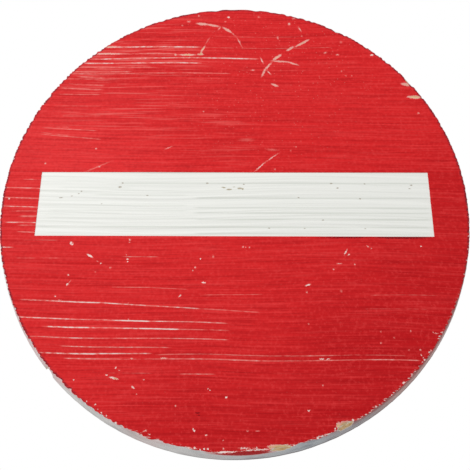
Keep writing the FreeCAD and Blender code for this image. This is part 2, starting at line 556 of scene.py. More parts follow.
# %% [markdown]
# ## The board
# The board is the same face 0.3 mm further back, the sawn edge and a flat back. The
# edge is made like the band of the rim: the outline is pulled back ring by ring, each ring
# at its own depth, and the teeth die out over the first millimetres. The saw and the paint
# left it slightly uneven. The last two rings take off the corner at the wall.

# %% The face and the sawn edge
EDGE_DEPTHS = (18.5, 17.6, 16.0, 13.5, 10.5, 7.0, 3.5, 0.6)   # rings, in mm from the wall
EDGE_UNEVEN = 0.16 * MM
SAW_CELL = (14.0 * MM, 7.0 * MM, 2.5 * MM)
BACK_CORNER = 0.6 * MM


def edge_ring(mesh, notes, y, radius, teeth_left):
    """Pull the outline back to a depth and a radius."""
    band = bmesh.ops.extrude_edge_only(mesh, edges=rim_edges(mesh))["geom"]
    for point in points_of(band):
        grain = point[notes["grain"]]
        outwards = Vector((grain.x, 0.0, grain.z)).normalized()
        on_face = outwards * FACE_RADIUS
        uneven = cell_noise(Vector((on_face.x, y, on_face.z)), SAW_CELL)
        reach = radius - teeth_left * tooth(on_face.x, on_face.z) - EDGE_UNEVEN * (0.5 + uneven)
        point.co, bare = splintered(outwards * reach + Vector((0.0, y, 0.0)))
        point[notes["grain"]] = (on_face.x, y, grain.z)
        point[notes["rim"]] = max(0.0, 1 - (y - BOARD_FRONT) / RIM_NOTE_WIDTH)
        point[notes["broken"]] = bare


wood = flat_face()
wood_notes = add_notes(wood)
for point in wood.verts:
    shape_point(point, wood_notes, BOARD_FRONT)
face_count = len(wood.faces)

for depth in EDGE_DEPTHS:
    y = -depth * MM
    teeth_left = max(0.0, 1 - (y - BOARD_FRONT) / TOOTH_REACH)
    edge_ring(wood, wood_notes, y, edge_radius(y), teeth_left)
edge_ring(wood, wood_notes, 0.0, BACK_RADIUS - BACK_CORNER, 0.0)
edge_count = len(wood.faces)
print("face", face_count, "faces, edge", edge_count - face_count, "faces")

# %% [markdown]
# ## The keyhole in the back
# The sign hangs on a screw. A router bit makes such a keyhole: a round hole lets the head
# in, a narrower slot lets only the shank up, and behind its lip the cut is wide again for
# the head. It could be cut with a boolean, but its outline is easy to draw by spinning one
# point round two centres. Extruding that outline three times gives the lip, the undercut
# and its walls. The back is then filled between the two outlines.

# %% Outline of the keyhole
HEAD_RADIUS = 9.6 * MM / 2
SLOT_HALF_WIDTH = 5.0 * MM / 2
SLOT_TOP = FACE_RADIUS - 45.0 * MM
HEAD_HEIGHT = SLOT_TOP - 12.0 * MM
LIP_DEPTH = 3.2 * MM
KEYHOLE_DEPTH = 9.5 * MM
HEAD_STEPS, SLOT_STEPS = 44, 24        # edges of the two arcs


def swing(mesh, start, centre_height, turn, steps):
    """Swing a point round a centre on the back. Returns the last point."""
    arc = bmesh.ops.spin(mesh, geom=[start], cent=(0.0, 0.0, centre_height),
                         axis=(0.0, 1.0, 0.0), angle=turn, steps=steps, use_merge=False)
    return points_of(arc["geom_last"])[0]


half_opening = math.asin(SLOT_HALF_WIDTH / HEAD_RADIUS)
slot_foot = HEAD_HEIGHT + HEAD_RADIUS * math.cos(half_opening)
edges_before = set(wood.edges)
first = wood.verts.new((SLOT_HALF_WIDTH, 0.0, slot_foot))
foot = swing(wood, first, HEAD_HEIGHT, 2 * (math.pi - half_opening), HEAD_STEPS)
top = wood.verts.new((foot.co.x, 0.0, SLOT_TOP))
wood.edges.new((foot, top))
end = swing(wood, top, SLOT_TOP, math.pi, SLOT_STEPS)
wood.edges.new((end, first))
keyhole_edges = [edge for edge in wood.edges if edge not in edges_before]
print("keyhole outline", len(keyhole_edges), "edges, lowest",
      round(min(edge.verts[0].co.z for edge in keyhole_edges) / MM, 1), "mm")

# %% Fill the back, then sink the keyhole
EDGE_SLOT, BACK_SLOT = 1, 2            # material slots of the board, after the face

back_edges = rim_edges(wood) + keyhole_edges
bmesh.ops.triangle_fill(wood, use_beauty=True, use_dissolve=False, edges=back_edges)


def sink(mesh, edges, y):
    """Extrude an outline straight into the board. Returns its new points and edges."""
    made = bmesh.ops.extrude_edge_only(mesh, edges=edges)["geom"]
    points = points_of(made)
    for point in points:
        point.co.y = y
    return points, [edge for edge in made if isinstance(edge, bmesh.types.BMEdge)
                    and edge.verts[0] in points and edge.verts[1] in points]


lip_points, lip_edges = sink(wood, keyhole_edges, -LIP_DEPTH)
under_points, under_edges = sink(wood, lip_edges, -LIP_DEPTH)
for point in under_points:
    if point.co.z > SLOT_TOP:
        point.co.x *= HEAD_RADIUS / SLOT_HALF_WIDTH
        point.co.z = SLOT_TOP + (point.co.z - SLOT_TOP) * HEAD_RADIUS / SLOT_HALF_WIDTH
    elif point.co.z > HEAD_HEIGHT:
        point.co.x = math.copysign(HEAD_RADIUS, point.co.x)
floor_edges = sink(wood, under_edges, -KEYHOLE_DEPTH)[1]
bmesh.ops.contextual_create(wood, geom=floor_edges)
bmesh.ops.remove_doubles(wood, verts=lip_points + under_points, dist=SAME_POINT)

for number, face in enumerate(wood.faces):
    if number >= edge_count:
        face.material_index = BACK_SLOT
    elif number >= face_count:
        face.material_index = EDGE_SLOT
print("open edges", len(rim_edges(wood)))
white_board = finished(wood, "painted_board")

# %% [markdown]
# ## Camera
# The photo was taken from below with the sign leaning back in the view: the disc is a
# little wider than high, it narrows towards the top, and the edge shows only along the
# bottom. Turned back into a sign that hangs upright, that is a camera below the middle of
# the sign, looking up at 17 degrees. The lens follows from how strongly the bar narrows.

# %% Camera at the photo's angle
CAMERA_PLACE = (5.54 * MM, PRINT_FRONT - 420.08 * MM, -157.69 * MM)
CAMERA_TURN = (107.3, -0.337, 0.504)
LENS = 42.15
SENSOR = 36.0

camera_data = bpy.data.cameras.new("camera")
camera_data.lens = LENS
camera_data.sensor_width = SENSOR
camera = bpy.data.objects.new("camera", camera_data)
camera.location = CAMERA_PLACE
camera.rotation_euler = Euler([math.radians(turn) for turn in CAMERA_TURN])
bpy.context.scene.collection.objects.link(camera)
bpy.context.scene.camera = camera
print("camera", round(Vector(CAMERA_PLACE).length, 3), "m from the middle of the back")

# %% [markdown]
# ## Studio light
# The photo was taken in plain even light on a white ground, a little brighter from the
# upper left, so the lower right of the sign and its downward edge are darker. One large
# soft lamp stands in for the window on the left. The pale surroundings do the rest: they are
# white where the camera sees them, and dimmer for the light that they give.

# %% Lamp, surroundings and floor
ROOM_LIGHT = 0.55
KEY_PLACE = (-1.1, -1.5, 1.1)
KEY_SIZE = 1.1
KEY_POWER = 30.0
FLOOR_BELOW = 1.1                      # the sign hangs this far above the floor, in metres
FLOOR_RADIUS = 2.5
FLOOR_SIDES = 96
WHITE = (1.0, 1.0, 1.0, 1.0)

key_data = bpy.data.lights.new("key_light", "AREA")
key_data.size = KEY_SIZE
key_data.energy = KEY_POWER
key_light = bpy.data.objects.new("key_light", key_data)
key_light.location = KEY_PLACE
key_light.rotation_euler = (-Vector(KEY_PLACE)).to_track_quat("-Z", "Y").to_euler()
bpy.context.scene.collection.objects.link(key_light)

world = bpy.data.worlds.new("pale_room")
world.use_nodes = True
bpy.context.scene.world = world
room = world.node_tree
room_shader = room.nodes["Background"]
room_shader.inputs["Color"].default_value = WHITE
seen = room.nodes.new("ShaderNodeLightPath").outputs["Is Camera Ray"]
brightness = room.nodes.new("ShaderNodeMapRange")
brightness.inputs["To Min"].default_value = ROOM_LIGHT
room.links.new(seen, brightness.inputs["Value"])
room.links.new(brightness.outputs["Result"], room_shader.inputs["Strength"])
bpy.context.scene.view_settings.view_transform = "Standard"

floor_mesh = bmesh.new()
bmesh.ops.create_circle(floor_mesh, cap_ends=True, segments=FLOOR_SIDES, radius=FLOOR_RADIUS)
bmesh.ops.translate(floor_mesh, verts=floor_mesh.verts, vec=(0.0, 0.0, -FLOOR_BELOW))
floor = finished(floor_mesh, "floor")
print("key light", round(Vector(KEY_PLACE).length, 2), "m away")

# %% [markdown]
# ## Helpers for the materials
# Materials are trees of nodes, and short helpers keep the rest readable. They add a node and
# link it, do arithmetic, take a vector apart and put one together, turn a value into a soft
# step, and mix two colours. Patterns that several finishes share go into node groups, which
# are built once. The last two helpers make such a group and place it in a tree.

# %% Nodes and arithmetic
def add(tree, kind, links=None, **settings):
    """Add a node. An input gets a fixed value, or a link where the value is an output."""
    made = tree.nodes.new("ShaderNode" + kind)
    for name, value in settings.items():
        setattr(made, name, value)
    for socket, value in (links or {}).items():
        if isinstance(value, bpy.types.NodeSocket):
            tree.links.new(value, made.inputs[socket])
        else:
            made.inputs[socket].default_value = value
    return made


def sums(tree, operation, one, two=0.0, clamp=False):
    return add(tree, "Math", {0: one, 1: two}, operation=operation, use_clamp=clamp).outputs[0]


def plus(tree, one, two, clamp=False):
    return sums(tree, "ADD", one, two, clamp)


def minus(tree, one, two, clamp=False):
    return sums(tree, "SUBTRACT", one, two, clamp)


def times(tree, one, two):
    return sums(tree, "MULTIPLY", one, two)


def most(tree, one, two):
    return sums(tree, "MAXIMUM", one, two)


# %% Vectors, noise, soft steps and colours
def vectors(tree, operation, one, two, result="Vector"):
    return add(tree, "VectorMath", {0: one, 1: two}, operation=operation).outputs[result]


def split(tree, vector):
    """The parts of a vector, which are named X, Y and Z."""
    return add(tree, "SeparateXYZ", {0: vector}).outputs


def joined(tree, x=0.0, y=0.0, z=0.0):
    return add(tree, "CombineXYZ", {0: x, 1: y, 2: z}).outputs[0]


def cloudy(tree, place, scale, detail=2.0, result="Fac"):
    """A noise that is the same in every direction."""
    made = add(tree, "TexNoise", {"Vector": place, "Scale": scale, "Detail": detail})
    return made.outputs[result]


def rise(tree, value, none, full):
    """0 at one limit and beyond it, 1 at the other, and a soft change between them."""
    return add(tree, "MapRange", {"Value": value, "From Min": none, "From Max": full},
               interpolation_type="SMOOTHSTEP").outputs["Result"]


def mixed(tree, share, one, two):
    """One colour changing to another as the share goes from 0 to 1."""
    one, two = [colour if isinstance(colour, bpy.types.NodeSocket) else (*colour, 1.0)
                for colour in (one, two)]
    return add(tree, "Mix", {0: share, 6: one, 7: two}, data_type="RGBA").outputs[2]


# %% Node groups
NOWHERE = (0.0, 0.0, 0.0)


def new_group(name, inputs, outputs):
    """A shader node group. Returns the group, its inputs, and the sockets for its outputs."""
    group = bpy.data.node_groups.new(name, "ShaderNodeTree")
    for socket, kind, value in inputs:
        made = group.interface.new_socket(socket, in_out="INPUT", socket_type="NodeSocket" + kind)
        made.default_value = value
    for socket, kind in outputs:
        group.interface.new_socket(socket, in_out="OUTPUT", socket_type="NodeSocket" + kind)
    given = group.nodes.new("NodeGroupInput").outputs
    wanted = group.nodes.new("NodeGroupOutput").inputs
    print("group", group.name, "gives", [socket for socket, kind in outputs])
    return group, given, wanted


def use(tree, group, links):
    return add(tree, "Group", links, node_tree=group).outputs


# %% [markdown]
# ## Grain streaks
# Every finish on this sign has streaks along the grain: ink lies thicker in a valley,
# paint looks greyer over the soft wood. The group stretches a noise along the grain. It
# reads the grain note of the mesh, not plain coordinates, so the streaks wander with the
# ridges. The back, which wasn't brushed, gives it plain coordinates.

# %% Group for streaks along the grain
streaks, given, wanted = new_group(
    "grain_streaks",
    (("Grain", "Vector", NOWHERE), ("Length", "Float", 0.06), ("Width", "Float", 0.0015),
     ("Detail", "Float", 2.0)),
    (("Streak", "Float"),))
cell = joined(streaks, given["Length"], given["Width"], given["Width"])
pattern = add(streaks, "TexNoise", {"Vector": vectors(streaks, "DIVIDE", given["Grain"], cell),
                                    "Scale": 1.0, "Detail": given["Detail"], "Roughness": 0.6})
streaks.links.new(pattern.outputs["Fac"], wanted["Streak"])


def streak(tree, grain, length, width, detail=2.0):
    """Streaks of a length and a width in mm. They give a value around 0.5."""
    return use(tree, streaks, {"Grain": grain, "Length": length * MM, "Width": width * MM,
                               "Detail": detail})["Streak"]


# %% [markdown]
# ## Worn lines
# The paint draws the listed ridges itself, because the mesh has only one point in ten
# millimetres along the grain. The group for one line asks how far a point is from the
# line, in units of its spread, and how far inside its ends. Lines are chained, and one
# vector goes down the chain: x, the grain line, and the most that any line so far has
# worn. Packed like this, the lines are worked out one after the other, which keeps the
# shader small enough for the renderer. The bar uses the same group for its grey lines.

# %% Group for one worn line
worn_line, given, wanted = new_group(
    "worn_line",
    (("So_far", "Vector", NOWHERE), ("Height", "Float", 0.0), ("Slope", "Float", 0.0),
     ("Start", "Float", 0.0), ("End", "Float", 0.0), ("Loss", "Float", 0.5),
     ("Spread", "Float", 0.8)),
    (("So_far", "Vector"),))
parts = split(worn_line, given["So_far"])
height = plus(worn_line, given["Height"], times(worn_line, given["Slope"], parts["X"]))
offset = sums(worn_line, "ABSOLUTE", minus(worn_line, parts["Y"], height))
aside = sums(worn_line, "DIVIDE", offset, given["Spread"])
across = minus(worn_line, 1.0, aside, clamp=True)
from_ends = sums(worn_line, "MINIMUM", minus(worn_line, parts["X"], given["Start"]),
                 minus(worn_line, given["End"], parts["X"]))
inside = plus(worn_line, sums(worn_line, "DIVIDE", from_ends, WORN_FADE), 0.5, clamp=True)
strength = times(worn_line, given["Loss"], times(worn_line, across, inside))
packed = joined(worn_line, parts["X"], parts["Y"], most(worn_line, parts["Z"], strength))
worn_line.links.new(packed, wanted["So_far"])

# %% A chain of worn lines
LINE_SOCKETS = ("Height", "Slope", "Start", "End", "Loss", "Spread")


def lined(tree, name, lines, grain):
    """How worn a place is by lines of height at x = 0, slope, start, end, loss and spread."""
    group, given, wanted = new_group(name, (("Grain", "Vector", NOWHERE),), (("Worn", "Float"),))
    in_mm = split(group, vectors(group, "MULTIPLY", given["Grain"], PER_MM))
    so_far = joined(group, in_mm["X"], in_mm["Z"])
    for line in lines:
        links = dict(zip(LINE_SOCKETS, line))
        so_far = use(group, worn_line, {"So_far": so_far, **links})["So_far"]
    group.links.new(split(group, so_far)["Z"], wanted["Worn"])
    print(name, "has", len(lines), "lines")
    return use(tree, group, {"Grain": grain})["Worn"]


# %% [markdown]
# ## Dashes
# Real wear is never even. Along most of a worn ridge the red has only become thin and
# looks pink, and it is gone in dashes, where the ridge stands a little higher. So the wear
# is weighed by two streaky noises, one for dashes of some millimetres and one for longer
# stretches. The paint is thin above a low limit of the result and gone above a high one.

# %% Group for the look of the wear
wear, given, wanted = new_group(
    "wear", (("Grain", "Vector", NOWHERE), ("Worn", "Float", 0.0)),
    (("Bare", "Float"), ("Thin", "Float")))
dashes = streak(wear, given["Grain"], 3.5, 1.4)
stretches = streak(wear, given["Grain"], 30, 4.0)
uneven = minus(wear, times(wear, plus(wear, dashes, stretches), 2.1), 1.1)
loss = times(wear, given["Worn"], uneven)
wear.links.new(rise(wear, loss, 0.42, 0.9), wanted["Bare"])
wear.links.new(rise(wear, loss, 0.06, 0.45), wanted["Thin"])

# %% [markdown]
# ## Scratches and scuffs
# The sign has many small marks that don't follow the grain. Each one is a slim lens: the
# group for one nick measures how far a point is from the middle of the lens, once along it
# and once across it, in units of its own half length and half width. Inside the lens the
# result is above zero, at most the strength of the mark, so a weak mark only thins the red.
# Marks are chained like the worn lines, with x, z and the strongest mark so far as the
# vector. They could be cut into the mesh, but they are finer than its faces.

# %% Group for one nick
NO_MARK = -1.0                         # well outside every mark

nick, given, wanted = new_group(
    "nick",
    (("So_far", "Vector", (0.0, 0.0, NO_MARK)), ("Along", "Vector", (1.0, 0.0, 0.0)),
     ("Across", "Vector", (0.0, 1.0, 0.0)), ("Middle", "Vector", NOWHERE),
     ("Strength", "Float", 1.0)),
    (("So_far", "Vector"),))
along = vectors(nick, "DOT_PRODUCT", given["So_far"], given["Along"], "Value")
across = vectors(nick, "DOT_PRODUCT", given["So_far"], given["Across"], "Value")
distance = vectors(nick, "DISTANCE", joined(nick, along, across), given["Middle"], "Value")
mark = times(nick, given["Strength"], minus(nick, 1.0, distance))
parts = split(nick, given["So_far"])
packed = joined(nick, parts["X"], parts["Y"], most(nick, parts["Z"], mark))
nick.links.new(packed, wanted["So_far"])

# %% A chain of marks
def marked(tree, name, marks, place):
    """How marked a place is by strokes from x, z to x, z, with a width and a strength."""
    group, given, wanted = new_group(name, (("Place", "Vector", NOWHERE),), (("Mark", "Float"),))
    parts = split(group, given["Place"])
    so_far = joined(group, parts["X"], parts["Z"], NO_MARK)
    for x_from, z_from, x_to, z_to, width, strength in marks:
        start, end = Vector((x_from, z_from)), Vector((x_to, z_to))
        direction = (end - start).normalized()
        along = direction * 2 / max(width, (end - start).length)
        across = Vector((-direction.y, direction.x)) * 2 / width
        middle = (start + end) / 2
        so_far = use(group, nick, {"So_far": so_far, "Along": (*along, 0.0),
                                   "Across": (*across, 0.0), "Strength": strength,
                                   "Middle": (along.dot(middle), across.dot(middle), 0.0)})[0]
    group.links.new(split(group, so_far)["Z"], wanted["Mark"])
    print(name, "has", len(marks), "marks")
    return use(tree, group, {"Place": place})["Mark"]


def dot(x, z, size, strength):
    """A round mark, as a stroke that is as long as it is wide."""
    return x - size / 2, z, x + size / 2, z, size, strength


def dash(x, z, size, strength):
    """A mark drawn out along the grain."""
    return x - size, z, x + size, z, size, strength


def rim_fleck(clock, inwards, size, strength):
    """A round mark at an angle and a distance in from the rim."""
    place = directions(clock)[0] * (FACE_RADIUS / MM - inwards)
    return dot(place.x, place.z, size, strength)


# %% Pale scuffs, where the red is scraped down to the white
SCUFFS = (
    # from x, z to x, z, width, strength
    (1.5, 160.5, 6.5, 149, 1.0, 0.3), (-3.5, 165, 0.5, 161, 1.0, 0.2),
    (-23, 159, -26, 153.5, 1.0, 0.15), (-13, 171, -15.5, 167.5, 1.5, 0.3),
    (-44, 176.5, -40.5, 177, 2.0, 0.3), (22.5, 139, 25.5, 132, 1.5, 0.45),
    (30, 131.5, 28, 125.5, 1.2, 0.3), (28, 125.5, 32, 121, 1.4, 0.4),
    (38.5, 161, 38.5, 157.5, 1.6, 0.3), (51.5, 180, 55.5, 180, 1.6, 0.3),
    (57, 171, 60, 165.5, 1.6, 0.4), (79, 143, 82, 144, 1.7, 0.3),
    (89.5, 141.5, 93, 141.5, 1.4, 0.3), (14, 125.5, 17.5, 125.5, 1.3, 0.3),
    (120, 141, 123.5, 141.5, 2.1, 0.7), (-122.5, 28.5, -105, 36.5, 1.0, 0.2),
    (-58.5, 48.5, -52, 51.5, 1.0, 0.3), (16.5, 28, 27, 38, 1.1, 0.45),
    (26, 37, 37.5, 45.5, 1.1, 0.4), (29, 48.5, 35, 48, 1.3, 0.1),
    (8, 57.5, 13, 57.5, 1.2, 0.05), (-131, -33, -128, -35.5, 2.6, 1.0),
    (-117, -42.5, -111, -46, 1.5, 1.0), (-108, -48.5, -106.5, -49.5, 0.8, 0.3),
    (-105.5, -50.5, -104, -50.5, 1.0, 0.8), (-130.5, -68.5, -128.5, -66.5, 1.6, 0.9),
    (-128.5, -66.5, -127, -64, 0.8, 0.4), (-136, -80, -133, -80, 0.8, 0.3),
    (-84.5, -47, -83, -47, 1.1, 0.9), (-26, -46, -26, -47.5, 1.1, 0.9),
    (-32.5, -56.5, -31.5, -55.5, 1.3, 0.4), (-16, -43.5, -16, -46, 1.1, 0.2),
    (-25, -65.5, -21.5, -66, 1.7, 1.0), (6.5, -37, 8.5, -36.5, 1.5, 0.4),
    (-42.5, -77.5, -40, -75, 1.1, 0.6), (90.5, -37.5, 87, -43.5, 1.0, 0.7),
    (90, -43.5, 92, -42, 1.2, 0.6), (81, -50, 85.5, -50, 1.0, 0.4),
    (105.5, -35.5, 107.5, -36.5, 1.3, 0.4), (148.5, -35, 148.5, -36.5, 1.2, 0.6),
    (55.5, -68, 60.5, -66.5, 1.2, 1.0), (-88, -131.5, -86.5, -130, 1.3, 1.0),
    (-95, -136, -92.5, -136, 0.9, 0.8), (-92, -137.5, -84.5, -139, 1.5, 1.0),
    (-66.5, -139.5, -65.5, -138.5, 1.1, 0.9), (-74.5, -144.5, -73, -144.5, 2.0, 1.0),
    (-73, -144.5, -72.5, -146, 0.9, 0.9), (-5.5, -151.5, -3.5, -151.5, 1.7, 1.0),
    (-28, -173, -28.5, -174, 1.1, 1.0), (-28.5, -174, -26.5, -175, 1.1, 1.0),
    (-20, -177.5, -17.5, -177.5, 1.0, 0.6), (-65, -175.5, -61.5, -174.5, 0.9, 0.5),
    (-61, -177, -59, -177.5, 1.0, 0.8), (156.5, -103.5, 159, -103, 1.0, 0.9),
    (150.5, -102.5, 152, -104, 0.8, 0.4), (152, -104, 155.5, -104, 0.8, 0.4),
    (64.5, -123.5, 68.5, -123.5, 1.0, 0.8), (69.5, -124, 73, -123, 1.0, 0.9),
    (54.5, -160.5, 57, -160, 1.0, 0.9), (10, -174.5, 12, -174.5, 0.8, 0.3),
    (16.5, -174.5, 20, -174.5, 0.8, 0.3), (-34, -185.5, -28.5, -186.5, 1.0, 0.5),
    (-12.5, -189, 6, -188.5, 1.2, 0.8), (6, -188, 29, -186.5, 1.1, 0.7),
    (4, -186, 13, -186, 0.9, 0.6), (14, -186, 20, -186.5, 0.8, 0.4),
)
SCUFF_DOTS = (
    # x, z, size, strength
    (-6, 181.5, 2.6, 0.6), (-9, 176.5, 1.6, 0.2), (-48, 172.5, 1.6, 0.25),
    (21.5, 181.5, 2.0, 0.2), (49, 174, 3.0, 0.4), (60, 161, 1.5, 0.2), (157.5, 83, 2.0, 0.3),
    (95, 154.5, 1.9, 0.15), (94, 124.5, 1.5, 0.2), (97.5, 120, 1.3, 0.2),
    (102.5, 120, 1.3, 0.2), (-158, 35.5, 1.8, 0.35), (-116.5, 49, 1.8, 0.4),
    (-112.5, 32.5, 1.6, 0.4), (-26.5, 84.5, 1.4, 0.3), (-129.5, -60, 1.6, 0.5),
    (-138, -77, 1.5, 1.0), (-83, -31, 1.8, 0.4), (-83, -33, 1.3, 0.3), (-83.5, -49, 1.2, 0.9),
    (-85, -43.5, 1.0, 0.4), (-97, -54, 1.6, 0.25), (-108.5, -57.5, 1.3, 0.2),
    (-81, -82, 0.9, 0.3), (-80, -94.5, 1.1, 0.4), (-30, -53.5, 1.6, 0.4), (9.5, -37, 1.1, 0.35),
    (12.5, -37, 1.3, 0.35), (95.5, -50.5, 1.4, 0.4), (78.5, -54.5, 1.3, 0.35),
    (109, -37.5, 1.2, 0.4), (57, -73, 1.6, 0.4), (83.5, -72, 1.6, 0.2),
    (-70.5, -149.5, 1.0, 0.4), (-84.5, -132.5, 0.9, 0.4), (-18, -145.5, 0.9, 0.6),
    (-16.5, -146.5, 1.2, 0.8), (-41.5, -157.5, 1.4, 0.4), (-6.5, -181, 1.1, 0.35),
    (-118, -139.5, 1.0, 0.6), (66.5, -142.5, 1.4, 0.4), (134.5, -102.5, 1.5, 0.4),
    (57.5, -97.5, 1.2, 0.25), (111.5, -111.5, 1.2, 0.25), (121.5, -107.5, 1.2, 0.25),
    (112, -103, 1.2, 0.2), (140.5, -116.5, 1.5, 0.35), (132, -116.5, 1.2, 0.25),
    (-184.5, 4, 1.7, 0.8), (52, 51, 1.4, 0.3), (47.5, 47.5, 1.2, 0.15), (34, 30.5, 1.4, 0.25),
)
RIM_FLECKS = (
    # degrees clockwise from the top, distance in from the rim, size, strength
    (94.7, 0.5, 1.4, 0.8), (98.2, 0.7, 1.8, 1.0), (101.6, 0.7, 1.8, 1.0),
    (104.4, 0.6, 1.6, 0.9), (108.0, 0.4, 1.5, 0.9), (123.2, 0.6, 1.6, 0.8),
    (128.2, 1.2, 1.5, 0.4), (130.5, 4.9, 1.3, 0.5), (130.7, 2.6, 1.0, 1.0),
    (130.9, 1.1, 1.8, 1.0), (138.1, 1.3, 2.0, 1.0), (139.2, 1.3, 0.9, 0.5),
    (140.3, 0.4, 1.3, 0.5), (142.0, 0.6, 1.4, 0.9), (144.8, 0.5, 1.1, 0.7),
    (145.5, 0.8, 1.1, 1.0), (146.4, 1.2, 1.4, 1.0), (147.7, 0.4, 1.3, 0.4),
    (149.2, 0.4, 1.3, 0.6), (151.4, 0.5, 1.4, 0.4), (152.4, 1.9, 1.9, 1.0),
    (155.9, 4.6, 1.2, 0.6), (156.8, 2.3, 1.6, 1.0), (157.9, 0.4, 1.3, 0.6),
    (159.4, 0.4, 1.4, 0.4), (161.1, 0.7, 1.6, 0.8), (162.2, 0.7, 1.0, 0.5),
    (163.3, 0.7, 1.2, 0.9), (164.8, 0.6, 1.4, 1.0), (166.5, 0.8, 1.9, 0.6),
    (174.6, 3.3, 1.2, 0.6), (176.1, 2.9, 1.1, 0.6), (176.9, 3.3, 1.5, 0.8),
    (178.0, 3.3, 1.2, 0.7), (181.9, 3.4, 1.4, 0.4), (185.3, 2.3, 1.2, 1.0),
    (186.1, 2.1, 1.4, 1.0), (187.0, 1.3, 1.4, 1.0), (188.2, 1.8, 1.6, 0.8),
    (206.5, 0.5, 1.7, 1.0), (209.1, 1.4, 1.2, 1.0), (210.4, 1.3, 1.2, 1.0),
    (211.6, 2.0, 1.1, 0.5), (212.6, 3.8, 1.1, 0.8), (214.6, 2.1, 1.1, 0.9),
    (219.2, 1.4, 1.0, 1.0), (229.5, 0.5, 1.2, 1.0), (231.3, 0.5, 1.0, 1.0),
    (256.2, 0.6, 1.3, 0.5), (258.2, 0.4, 1.4, 0.6), (261.6, 0.6, 1.3, 0.6),
    (264.0, 0.4, 1.1, 0.5), (267.9, 0.4, 1.3, 0.7), (349.7, 4.1, 2.0, 0.25),
)
ALL_SCUFFS = (SCUFFS + tuple(dot(*place) for place in SCUFF_DOTS)
              + tuple(rim_fleck(*place) for place in RIM_FLECKS))
print(len(ALL_SCUFFS), "scuffs")

# %% Gouges, deep enough to bare the tan wood
GOUGES = (
    # from x, z to x, z, width, strength
    (-34.5, 174.5, -25, 173.5, 2.2, 0.4), (-25, 173.5, -15.5, 171.5, 1.6, 0.25),
    (-10.5, 170, -3.5, 165, 2.0, 0.4), (66, 157, 54.5, 150, 1.9, 0.5),
    (52, 149.5, 46.5, 146, 1.9, 0.4), (41, 141.5, 34, 136, 2.3, 0.55),
    (32, 132.5, 27, 127, 1.4, 0.3), (27, 127, 24, 120, 1.4, 0.25),
    (34.5, 135, 47, 134, 1.3, 0.25), (47, 134, 55, 131, 1.3, 0.25),
    (32.5, 111.5, 37.5, 109.5, 1.7, 0.35), (-54, 141.5, -52, 141.5, 1.4, 0.6),
    (-48.5, 141.5, -36, 141.5, 1.8, 0.8), (-33.5, 142, -28, 142, 1.6, 0.7),
    (-27, 150.5, -30.5, 144.5, 1.7, 0.7), (-29.5, 144, -31, 141.5, 2.1, 0.8),
    (-89, -138, -84.5, -139, 1.2, 1.0), (145.5, 112, 153.5, 110.5, 2.6, 0.5),
    (149.5, 99, 162, 98.5, 2.9, 1.0), (-76.5, -124, -75, -124, 1.0, 0.5),
    (-54, -123.5, -49.5, -123.5, 1.0, 0.4), (25.5, -185, 40.5, -185, 2.8, 1.0),
    (28.5, -186.5, 38.5, -185.5, 2.1, 1.0), (26, -185.5, 29, -185, 2.8, 1.0),
    (37, -184.5, 41, -184.5, 2.2, 1.0), (-118, 149.5, -106, 149.5, 1.5, 0.5),
    (-125, 142.5, -104, 142.5, 1.3, 0.35), (76, -171, 85.5, -168.5, 4.5, 1.0),
    (76.5, -168, 76.5, -173, 3.0, 1.0),
)
print(len(GOUGES), "gouges")

# %% Dark specks in the bar, brown where a knot shows, dents in the red, and a dark line below the bar
SPECKS = (
    # x, z, size, strength
    (-92, 18, 1.3, 0.6), (-94, 14.5, 1.8, 0.7), (-125.5, 10.5, 1.2, 0.5),
    (-127.5, 8.5, 1.2, 0.5), (-133, 6.5, 1.3, 0.5), (-71, 7, 1.3, 0.5), (-108, -0.5, 1.2, 0.4),
    (-22, 18, 1.5, 0.7), (53, 5.5, 1.3, 0.5), (28.5, -21, 1.3, 0.5), (80, 18, 1.5, 0.6),
    (85, 14, 1.5, 0.6), (103, 4.5, 1.3, 0.5), (107.5, 17.5, 1.3, 0.5), (145.5, 16.5, 1.5, 0.6),
    (144, 13.5, 1.3, 0.5), (72, -14, 1.3, 0.5), (57, -21, 1.2, 0.4), (105.5, -21, 1.2, 0.4),
    (8, 17, 1.3, 0.5),
)
LONG_SPECK = (-144.5, 5, -139.5, 5, 1.1, 0.6)
KNOT = ((-11, 14.5, -6, 14, 1.6, 0.8), (-7, 12.5, -1, 12.5, 1.9, 0.9),
        (2, 13.5, 7.5, 13.5, 2.0, 0.9), dot(7, 13, 2.6, 0.9), (-2, 15, 2, 14.5, 1.2, 0.4))
DENTS_AND_DARK_LINE = ((-28, -162.5, -22.5, -162.5, 1.2, 0.7), (-26, -164, -23, -164, 1.0, 0.5),
         (60, -28.5, 120, -28.5, 1.8, 0.6), (105, -28.5, 163, -28.5, 2.4, 0.9))
ALL_SPECKS = tuple(dash(*place) for place in SPECKS) + (LONG_SPECK,)
print(len(ALL_SPECKS), "specks", len(KNOT), "marks of the knot", len(DENTS_AND_DARK_LINE), "dents")

# %% [markdown]
# ## Ragged edges for the marks
# A mark with a clean outline looks drawn. This group shakes the place of a point with a
# fine noise before the marks are measured, so each outline becomes ragged and a few long
# ones break up. It also turns metres into the millimetres of the lists.

# %% Group for a shaken place
shaken, given, wanted = new_group(
    "shaken_place", (("Place", "Vector", NOWHERE), ("Shake", "Float", 0.9)),
    (("Place", "Vector"),))
in_mm = vectors(shaken, "MULTIPLY", given["Place"], PER_MM)
jitter = cloudy(shaken, in_mm, 0.9, result="Color")
centred = vectors(shaken, "SUBTRACT", jitter, (0.5, 0.5, 0.5))
push = add(shaken, "VectorMath", {0: centred, "Scale": given["Shake"]}, operation="SCALE")
shaken.links.new(vectors(shaken, "ADD", in_mm, push.outputs[0]), wanted["Place"])

# %% [markdown]
# ## Bare wood
# Under the paint lies softwood, tan with a paler and a darker band for each ring. The
# same group serves the splinters of the rim, the notch and the gouges in the face.

# %% Group for bare wood
WOOD_PALE = (0.76, 0.52, 0.27)
WOOD_DARK = (0.52, 0.32, 0.14)

